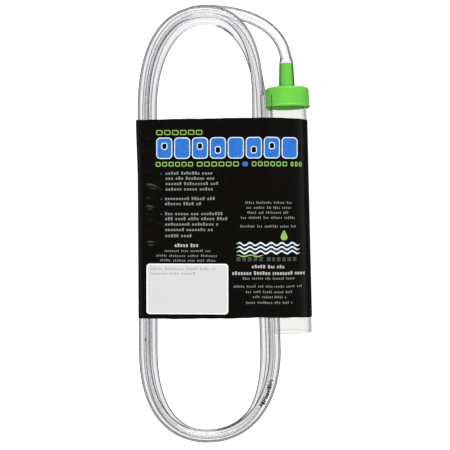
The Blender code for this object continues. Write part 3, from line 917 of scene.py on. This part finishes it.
def sleeve_shape():
    """The film's outer face as a rows x columns x 3 array."""
    length = (ROWS[0] - ROWS[-1]) / MM
    shape = []
    for y in ROWS:
        depth = (TOP_Y - y) / MM
        share = (TOP_Y - y) / (TOP_Y - BOTTOM_Y)
        near_edge = max(math.exp(-(depth / 1.1) ** 2), math.exp(-((length - depth) / 1.1) ** 2))
        line = []
        for n, (x, z) in enumerate(section(y)):
            from_fold = MIDDLE[n][0] - FOLD_X
            wave_share = (1 - 2 * share) * (0.7 if share < 0.5 else 1.3)
            row_y = y + edge_wave(n) * wave_share - sag(x, share)
            if from_fold < 0:  # the left side bulges towards the top
                x -= 1.0 * MM * smooth(1 - depth / 42.0) * smooth(-from_fold / (2.5 * MM))
            if n in FRONT_SET:
                flare = 0.10 * MM * near_edge * smooth(from_fold / (8 * MM))
                z += relief(from_fold / MM, depth) + flare
            line.append((x, row_y, z))
        shape.append(line)
    return np.array(shape)


SHAPE = sleeve_shape()


def outward(grid):
    """Unit normals of a rows x columns grid whose columns close round on themselves."""
    across = np.roll(grid, -1, axis=1) - np.roll(grid, 1, axis=1)
    along = np.gradient(grid, axis=0)
    normals = np.cross(along, across)
    normals /= np.linalg.norm(normals, axis=2)[:, :, None]
    if normals[len(ROWS) // 2, PANEL_COLS[len(PANEL_COLS) // 2], 2] < 0:
        return -normals
    return normals


# ---------------------------------------------------------------- film sleeve: printed mesh
def column_near(row, x):
    return FRONT_COLS[int(np.argmin(np.abs(SHAPE[row][FRONT_COLS, 0] - x)))]


def row_near(y):
    return int(np.argmin(np.abs(np.array(ROWS) - y)))


def print_cells():
    """The material slot of every cell of the film."""
    slots = np.full((len(ROWS) - 1, len(COLS)), BARE_SLOT)
    rng = random.Random(7)
    for x0, x1, y, style in COPY:
        wide, gap, body, above, slot = STYLES[style]
        top, bottom = row_near((y + body / 2) * MM), row_near((y - body / 2) * MM)
        crest = row_near((y + body / 2 + above) * MM)
        n, last = column_near(top, x0 * MM), column_near(top, x1 * MM)
        left_in_word = rng.randint(3, 9)
        while n + wide <= last:
            slots[top:bottom, n:n + wide] = slot
            if above and rng.random() < 0.3:
                slots[crest:top, n:n + wide] = slot
            n += wide + gap
            left_in_word -= 1
            if left_in_word == 0:
                n += 2
                left_in_word = rng.randint(3, 9)
    return slots


def sleeve():
    rows, cols = SHAPE.shape[:2]
    slots = print_cells()
    inner = SHAPE - outward(SHAPE) * FILM_T
    verts = np.concatenate([SHAPE.reshape(-1, 3), inner.reshape(-1, 3)])
    faces, face_slots = [], []
    base = rows * cols
    for r in range(rows - 1):
        for n in range(cols):
            m = (n + 1) % cols
            a, b, c, d = r * cols + n, r * cols + m, (r + 1) * cols + m, (r + 1) * cols + n
            faces += [(a, d, c, b), (base + a, base + b, base + c, base + d)]
            face_slots += [int(slots[r, n]), INSIDE_SLOT]
    end = (rows - 1) * cols
    for n in range(cols):
        m = (n + 1) % cols
        faces.append((n, m, base + m, base + n))
        faces.append((end + m, end + n, base + end + n, base + end + m))
        face_slots += [BARE_SLOT, BARE_SLOT]
    return mesh_object("sleeve", verts, faces, FILM_MATERIALS, face_slots, sharp=60)


register(sleeve(), "sleeve", replaces="printed_sleeve")


# ---------------------------------------------------------------- shapes lying on the film
def front_z(x, y):
    row = len(ROWS) - 1 - np.interp(y, ROWS[::-1], np.arange(len(ROWS)))
    above = min(int(math.floor(row)), len(ROWS) - 2)
    t = row - above
    line = SHAPE[above][FRONT_COLS] * (1 - t) + SHAPE[above + 1][FRONT_COLS] * t
    return float(np.interp(x, line[:, 0], line[:, 2]))


def on_front(x, y):
    """The film's front surface and its normal at x, y."""
    e = 0.3 * MM
    slope_x = (front_z(x + e, y) - front_z(x - e, y)) / (2 * e)
    slope_y = (front_z(x, y + e) - front_z(x, y - e)) / (2 * e)
    return Vector((x, y, front_z(x, y))), Vector((-slope_x, -slope_y, 1.0)).normalized()


def spread(y, left, right, width):
    """Points along one row of a shape, mm, close enough together to follow the film."""
    count = max(2, math.ceil(width / 0.7) + 1)
    return [(left + (right - left) * k / (count - 1), y) for k in range(count)]


def block(x0, x1, y0, y1, radius):
    """A rounded block, mm, as rows of points from top to bottom."""
    radius = min(radius, (x1 - x0) / 2 - 0.02, (y1 - y0) / 2 - 0.001)
    corner = []  # distance from the end, inset from the side
    for k in range(7):
        a = math.pi / 2 * k / 6
        corner.append((radius * (1 - math.cos(a)), radius * (1 - math.sin(a))))
    body = (y1 - y0) - 2 * radius
    steps = max(1, math.ceil(body / 1.6))
    down = corner + [(radius + body * k / steps, 0.0) for k in range(1, steps)]
    down += [((y1 - y0) - depth, inset) for depth, inset in corner[::-1]]
    return [spread(y1 - depth, x0 + inset, x1 - inset, x1 - x0) for depth, inset in down]


def drop(x, y, radius, tall):
    """A water drop, mm: round below, drawn up to a blunt point."""
    rows = []
    for k in range(19):
        a = math.pi * k / 18
        upper = max(0.0, math.cos(a))
        stretch = 1.0 + (tall - 1.0) * upper ** 1.4
        half = radius * math.sin(a) * (1.0 - 0.32 * upper) + 0.08
        rows.append(spread(y + radius * math.cos(a) * stretch, x - half, x + half, 2 * radius))
    return rows


def wave(x0, x1, y, height, length, wide, shift=0.0):
    """A rippling line with tapered ends, mm."""
    rows = []
    steps = math.ceil((x1 - x0) / 0.5)
    for k in range(steps + 1):
        x = x0 + (x1 - x0) * k / steps
        middle = y + height * math.sin(2 * math.pi * (x - x0) / length + shift)
        half = wide / 2 * (0.25 + 0.75 * smooth(min(x - x0, x1 - x) / 2.5))
        rows.append([(x, middle - half), (x, middle), (x, middle + half)])
    return rows


def patches(name, shapes, lift, thick, material, replaces=None):
    """Thin closed sheets on the front of the film, all in one mesh; lift and thick in mm."""
    verts, faces = [], []
    for rows in shapes:
        faces += sheet_faces(len(verts), len(rows), len(rows[0]))
        for level in (lift + thick, lift):
            for row in rows:
                for x, y in row:
                    point, normal = on_front(x * MM, y * MM)
                    verts.append(point + normal * level * MM)
    register(mesh_object(name, verts, faces, [material]), "sleeve", replaces)


# ---------------------------------------------------------------- display printing
INK_T, THIN_INK_T = 0.03, 0.012  # mm
FIRST_LIFT, SECOND_LIFT, THIRD_LIFT, FOURTH_LIFT = 0.02, 0.06, 0.10, 0.118  # above the film, mm

# The heading: a row of white-edged blue blocks, some with a white-edged black hole, mm.
HEAD_X0, HEAD_X1, HEAD_Y0, HEAD_Y1 = -43.6, 48.6, 37.4, 51.2
HEAD_COUNT = 8
HEAD_PITCH = (HEAD_X1 - HEAD_X0) / HEAD_COUNT
HEAD_GAP, HEAD_RIM = 0.55, 0.65
HOLED = (0, 2, 3, 5, 6)
EVEN_HOLE_Y, ODD_HOLE_Y = (43.2, 47.9), (40.6, 45.4)
HOLE_RIM_HALF, HOLE_HALF, HOLE_RIM = 2.0, 1.4, 0.6

white_blocks, blue_blocks = [], []
for k in range(HEAD_COUNT):
    x0, x1 = HEAD_X0 + HEAD_PITCH * k + HEAD_GAP, HEAD_X0 + HEAD_PITCH * (k + 1) - HEAD_GAP
    white_blocks.append(block(x0, x1, HEAD_Y0, HEAD_Y1, radius=2.6))
    blue_blocks.append(block(x0 + HEAD_RIM, x1 - HEAD_RIM, HEAD_Y0 + HEAD_RIM, HEAD_Y1 - HEAD_RIM,
                             radius=2.0))
hole_rims, holes = [], []
for k in HOLED:
    middle = HEAD_X0 + HEAD_PITCH * (k + 0.5)
    low, high = EVEN_HOLE_Y if k % 2 == 0 else ODD_HOLE_Y
    hole_rims.append(block(middle - HOLE_RIM_HALF, middle + HOLE_RIM_HALF, low, high, radius=1.5))
    holes.append(block(middle - HOLE_HALF, middle + HOLE_HALF, low + HOLE_RIM, high - HOLE_RIM,
                       radius=1.0))

# Rows of small green frames above and below the heading: x0, x1, y0, y1, mm; count.
FRAME_ROWS = (
    (-43.6, -12.8, 52.8, 56.0, 6), (-43.9, -18.8, 32.4, 35.5, 6), (-17.3, 10.7, 32.4, 35.5, 6),
    (18.0, 41.6, 32.4, 35.5, 6), (43.0, 51.2, 32.4, 35.5, 3),
)
FRAME_GAP, FRAME_RIM = 0.5, 0.6

frames, frame_holes = [], []
for x0, x1, y0, y1, count in FRAME_ROWS:
    step = (x1 - x0) / count
    for k in range(count):
        left, right = x0 + step * k + FRAME_GAP, x0 + step * (k + 1) - FRAME_GAP
        frames.append(block(left, right, y0, y1, radius=0.8))
        frame_holes.append(block(left + FRAME_RIM, right - FRAME_RIM, y0 + FRAME_RIM,
                                 y1 - FRAME_RIM, radius=0.4))

# Three dots to the left of the copy and a larger one in the lower row of frames.
DOTS = [
    block(-40.2, -39.4, 27.3, 28.1, radius=0.4), block(-40.2, -39.4, 11.0, 11.8, radius=0.4),
    block(-40.2, -39.4, 1.3, 2.1, radius=0.4), block(12.5, 16.0, 32.4, 35.4, radius=0.9),
]
WAVES = [wave(8.8, 49.4, y, height=0.85, length=6.8, wide=1.15) for y in (-17.5, -20.1, -22.7)]
DROP_AND_WAVE = [
    drop(39.2, -12.9, radius=2.2, tall=1.9),
    wave(8.6, 26.0, -25.0, height=0.45, length=8.7, wide=0.8, shift=1.2),
]

for name, shapes, lift, thick, material in (
    ("print_head_outline", white_blocks, FIRST_LIFT, INK_T, INK_WHITE),
    ("print_head", blue_blocks, SECOND_LIFT, INK_T, INK_BLUE),
    ("print_rows", frames, FIRST_LIFT, INK_T, INK_GREEN),
    ("print_rows_hollow", frame_holes, SECOND_LIFT, THIN_INK_T, FILM_BLACK),
    ("print_head_hollow_rim", hole_rims, THIRD_LIFT, THIN_INK_T, INK_WHITE),
    ("print_head_hollow", holes, FOURTH_LIFT, THIN_INK_T, FILM_BLACK),
    ("print_dots", DOTS, FIRST_LIFT, INK_T, INK_BLUE),
    ("print_mark", WAVES, FIRST_LIFT, INK_T, INK_WHITE),
    ("print_drop", DROP_AND_WAVE, SECOND_LIFT, INK_T, INK_GREEN),
):
    patches(name, shapes, lift, thick, material)

# ---------------------------------------------------------------- price label
LABEL_X0, LABEL_X1 = LABEL_LO.x / MM + 0.2, LABEL_HI.x / MM - 0.4
LABEL_Y0, LABEL_Y1 = LABEL_LO.y / MM - 0.35, LABEL_HI.y / MM - 1.2
LABEL_BORDER = 0.75
# Lines of print: middle y, left x, right x, mm.
LABEL_LINES = (
    (LABEL_Y1 - 3.4, LABEL_X0 + 3.0, LABEL_X1 - 8.5),
    (LABEL_Y1 - 6.5, LABEL_X0 + 3.0, LABEL_X1 - 22.5),
)
MARK_W, MARK_PITCH, MARK_HALF, TALL_EXTRA, WORD_GAP = 1.0, 1.55, 0.65, 0.45, 1.2


def label_marks():
    rng = random.Random(3)
    marks = []
    for y, x, x1 in LABEL_LINES:
        left_in_word = rng.randint(4, 8)
        while x < x1:
            tall = TALL_EXTRA if rng.random() < 0.3 else 0.0
            marks.append(block(x, x + MARK_W, y - MARK_HALF, y + MARK_HALF + tall, radius=0.25))
            x += MARK_PITCH
            left_in_word -= 1
            if left_in_word == 0:
                x += WORD_GAP
                left_in_word = rng.randint(4, 8)
    return marks


patches("label", [block(LABEL_X0, LABEL_X1, LABEL_Y0, LABEL_Y1, radius=2.1)],
        lift=0.02, thick=0.10, material=LABEL_RIM, replaces="price_label")
label_face = block(LABEL_X0 + LABEL_BORDER, LABEL_X1 - LABEL_BORDER,
                   LABEL_Y0 + LABEL_BORDER, LABEL_Y1 - LABEL_BORDER, radius=1.5)
patches("label_face", [label_face], lift=0.13, thick=0.012, material=LABEL_FACE)
patches("label_print", label_marks(), lift=0.147, thick=0.012, material=LABEL_INK)

# ---------------------------------------------------------------- heat-sealed back seam
SEAL_X0, SEAL_X1, SEAL_PITCH, SEAL_COLS = -14.0, -6.0, 0.9, 17  # mm, and points across
SEAL_OUTER, SEAL_INNER, SEAL_RIPPLE = 0.17, 0.03, 0.06  # heights off the film, mm


def back_z(x, y):
    line = SHAPE[row_near(y)][BACK_COLS]
    order = np.argsort(line[:, 0])
    return float(np.interp(x, line[order, 0], line[order, 2]))


def back_seam():
    """A rippled strip along the back of the film."""
    rows = []
    y = TOP_Y / MM - 0.1
    while y > BOTTOM_Y / MM + 0.1:
        rows.append(y)
        y -= SEAL_PITCH
    verts = []
    for level in (SEAL_OUTER, SEAL_INNER):
        for r, y in enumerate(rows):
            for k in range(SEAL_COLS):
                x = SEAL_X0 + (SEAL_X1 - SEAL_X0) * k / (SEAL_COLS - 1)
                height = level
                if level == SEAL_OUTER and 0 < k < SEAL_COLS - 1:
                    height += SEAL_RIPPLE * (1 + math.sin(r * math.pi / 2))
                verts.append((x * MM, y * MM, back_z(x * MM, y * MM) - height * MM))
    # Wound the other way round from a sheet on the front, as it faces -z.
    faces = [(first, *rest[::-1]) for first, *rest in sheet_faces(0, len(rows), SEAL_COLS)]
    return mesh_object("sleeve_seam", verts, faces, [FILM_BLACK])


register(back_seam(), "sleeve")

# ---------------------------------------------------------------- floor
for obj in (coil, tail, tube):
    obj.visible_shadow = False
    obj.visible_diffuse = False

FLOOR_HALF, FLOOR_Z = 4, -0.0002  # m


def floor_material():
    """Pale floor that shows differently to each kind of ray.

    Seen through clear plastic it glows with painted light, bright along the line of sight and
    falling off to the sides as a lit sheet would, and white beneath the inner half of the coil's end
    bends. In reflections it is dark, and to diffuse light it is an even grey.
    """
    material, tree, bsdf = new_material("floor_pale")
    set_values(bsdf, Base_Color=(0.66, 0.66, 0.65, 1.0), Roughness=0.9, Specular_IOR_Level=0.0,
               Emission_Color=(1.0, 1.0, 1.0, 1.0), Emission_Strength=0.66)
    rays = node(tree, "ShaderNodeLightPath").outputs
    geometry = node(tree, "ShaderNodeNewGeometry")
    straightness = along_view(tree, geometry)
    # Painted light: seen through clear plastic the floor darkens as the ray is bent off the line of
    # sight.
    fall = ramp(tree, straightness,
                [(0.0, grey(0.08)), (0.40, grey(0.16)), (0.68, grey(0.50)), (0.84, grey(1.0))])
    place = split_xyz(tree, geometry.outputs["Position"])
    # Painted light: the floor is white beneath the inner half of the coil's end bends.
    crowns = inner_crowns(tree, place, near=0.03, far=0.06)
    glow = calc(tree, "MULTIPLY", crowns, ease(tree, straightness, 0.04, 0.25))
    lit, factor, first, second = mix_colour(tree)
    tree.links.new(glow, factor)
    tree.links.new(fall, first)
    second.default_value = (1.0, 1.0, 1.0, 1.0)
    through = glowing(tree, "ShaderNodeEmission", lit.outputs["Color"])
    dark = glowing(tree, "ShaderNodeEmission", 0.03)
    shown = mix_shader(tree, rays["Is Glossy Ray"], bsdf.outputs[0], dark)
    bounced = glowing(tree, "ShaderNodeEmission", 0.45)
    shown = mix_shader(tree, rays["Is Diffuse Ray"], shown, bounced)
    shown = mix_shader(tree, rays["Is Transmission Ray"], shown, through)
    tree.links.new(shown, tree.nodes["Material Output"].inputs["Surface"])
    return material


floor_mesh = bpy.data.meshes.new("floor")
floor_corners = [(x * FLOOR_HALF, y * FLOOR_HALF, FLOOR_Z)
                 for x, y in ((-1, -1), (1, -1), (1, 1), (-1, 1))]
floor_mesh.from_pydata(floor_corners, [], [(0, 1, 2, 3)])
floor = bpy.data.objects.new("floor", floor_mesh)
SCENE.collection.objects.link(floor)
floor_mesh.materials.append(floor_material())


# ---------------------------------------------------------------- world
def build_world():
    """A dim room in reflections, a soft dome for diffuse light, white to the camera."""
    world = bpy.data.worlds.new("studio")
    SCENE.world = world
    world.use_nodes = True
    world.cycles.sampling_method = "NONE"
    tree = world.node_tree
    for default in list(tree.nodes):
        tree.nodes.remove(default)
    output = node(tree, "ShaderNodeOutputWorld")
    rays = node(tree, "ShaderNodeLightPath").outputs
    geometry = node(tree, "ShaderNodeNewGeometry")
    up = calc(tree, "MULTIPLY", split_xyz(tree, geometry.outputs["Incoming"])["Z"], -1.0)
    sky = ramp(tree, up, [(0.0, (0.40, 0.40, 0.41)), (0.55, (0.16, 0.16, 0.17)), (0.95, grey(0.02))])
    room = glowing(tree, "ShaderNodeBackground", sky)
    dome = ramp(tree, up, [(0.0, grey(0.50)), (1.0, grey(1.15))])
    soft = glowing(tree, "ShaderNodeBackground", dome, Strength=0.52)
    white = glowing(tree, "ShaderNodeBackground", 1.0)
    shown = mix_shader(tree, rays["Is Diffuse Ray"], room, soft)
    # Through clear plastic: bright along the line of sight, darker to the sides.
    bent = ramp(tree, along_view(tree, geometry), [(0.30, (0.30, 0.30, 0.31)), (0.84, grey(1.0))])
    pale = glowing(tree, "ShaderNodeBackground", bent)
    shown = mix_shader(tree, rays["Is Transmission Ray"], shown, pale)
    shown = mix_shader(tree, rays["Is Camera Ray"], shown, white)
    tree.links.new(shown, output.inputs["Surface"])


build_world()


# ---------------------------------------------------------------- lights, camera and render
def area_light(name, place, size, watts, target=(0, 0, 0)):
    """A rectangular light at place, m, turned towards target."""
    data = bpy.data.lights.new(name, "AREA")
    data.shape = "RECTANGLE"
    data.size, data.size_y = size
    data.energy = watts
    obj = bpy.data.objects.new(name, data)
    SCENE.collection.objects.link(obj)
    obj.location = place
    obj.rotation_euler = (Vector(target) - Vector(place)).to_track_quat("-Z", "Y").to_euler()
    return obj


area_light("light_top", place=(-0.15, 0.95, 1.0), size=(1.5, 0.7), watts=5.5)
area_light("light_bottom", place=(0.15, -0.95, 1.0), size=(1.5, 0.7), watts=3.0)
area_light("light_back", place=(0.25, 1.15, 0.30), size=(1.2, 0.4), watts=8.0,
           target=(0.02, 0.05, 0.01))
overhead = area_light("light_overhead", place=(0.04, -0.14, 1.25), size=(0.45, 0.30), watts=6.5)
overhead.visible_glossy = False
overhead.visible_transmission = False

lens = bpy.data.cameras.new("camera")
lens.lens = 85.5
lens.sensor_width = 36.0
lens.clip_start = 0.01
lens.clip_end = 20.0
camera = bpy.data.objects.new("camera", lens)
SCENE.collection.objects.link(camera)
camera.location = (0.00131, -0.00524, 0.715)
camera.rotation_euler = (0.0, 0.0, 0.0)  # straight down
SCENE.camera = camera

SCENE.view_settings.view_transform = "Standard"
SCENE.view_settings.look = "None"
SCENE.cycles.max_bounces = 40
SCENE.cycles.transmission_bounces = 40
SCENE.cycles.transparent_max_bounces = 40
SCENE.cycles.glossy_bounces = 6
SCENE.cycles.diffuse_bounces = 3
SCENE.cycles.caustics_reflective = False
SCENE.cycles.caustics_refractive = False
